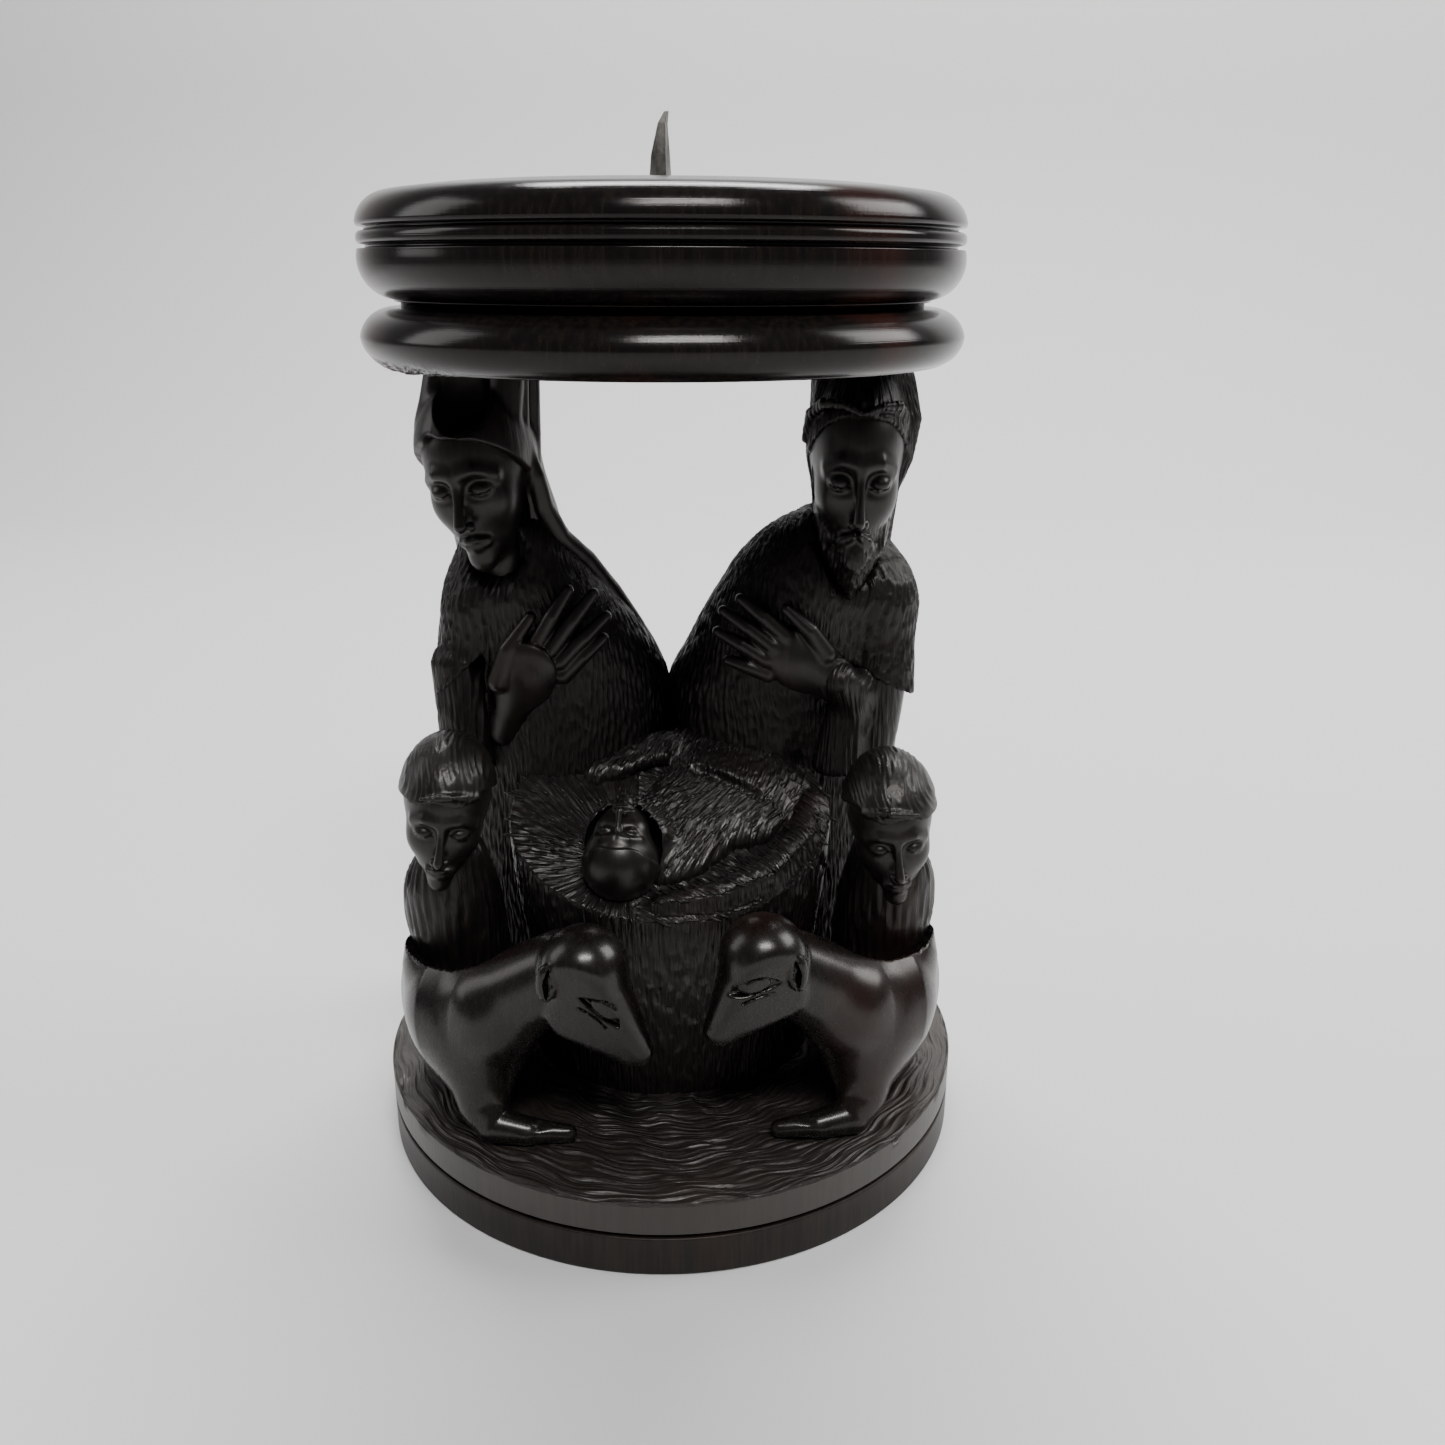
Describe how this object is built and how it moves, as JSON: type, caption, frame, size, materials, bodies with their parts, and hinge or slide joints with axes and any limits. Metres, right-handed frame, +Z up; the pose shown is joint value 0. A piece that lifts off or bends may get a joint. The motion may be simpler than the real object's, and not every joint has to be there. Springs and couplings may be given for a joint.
{
  "type": "carved candle stand",
  "caption": "Round turned base with a carved nativity group whose two tall figures carry a turned ring and a candle plate with an iron pricket.",
  "frame": {"origin": "centre of the underside of the base, which rests on the table", "axes": "+Z up along the turning axis, -Y to the front where the lambs lie, +X to the right seen from the front"},
  "size_m": [0.1348, 0.1348, 0.2219],
  "materials": {
    "turned_blackwood": "turned and polished, satin",
    "base_blackwood": "turned, waxed, brownish satin",
    "chiselled_blackwood": "chisel-textured, waxed",
    "polished_blackwood": "carved smooth and polished",
    "pricket_iron": "hand-forged, worn",
    "plug_wood": "cut flush, waxed"
  },
  "bodies": {
    "root": {"base_disc": "base_blackwood", "ground_disc": "base_blackwood", "head_ring": "turned_blackwood", "candle_plate": "turned_blackwood", "plate_dowel": "base_blackwood", "pricket": "pricket_iron", "hair_plug": "plug_wood", "woman_hand": "polished_blackwood", "man_hand": "polished_blackwood", "man_beard": "polished_blackwood", "woman_head": "polished_blackwood", "man_head": "polished_blackwood", "woman_sleeve": "chiselled_blackwood", "man_sleeve": "chiselled_blackwood", "woman_veil": "polished_blackwood", "man_hair": "chiselled_blackwood", "infant_head": "polished_blackwood", "infant_cover": "chiselled_blackwood", "lamb_left": "polished_blackwood", "lamb_right": "polished_blackwood", "shepherd_left_head": "polished_blackwood", "shepherd_right_head": "polished_blackwood", "shepherd_left_body": "chiselled_blackwood", "shepherd_right_body": "chiselled_blackwood", "manger": "chiselled_blackwood", "woman_robe": "chiselled_blackwood", "man_robe": "chiselled_blackwood"}
  },
  "joints": []
}
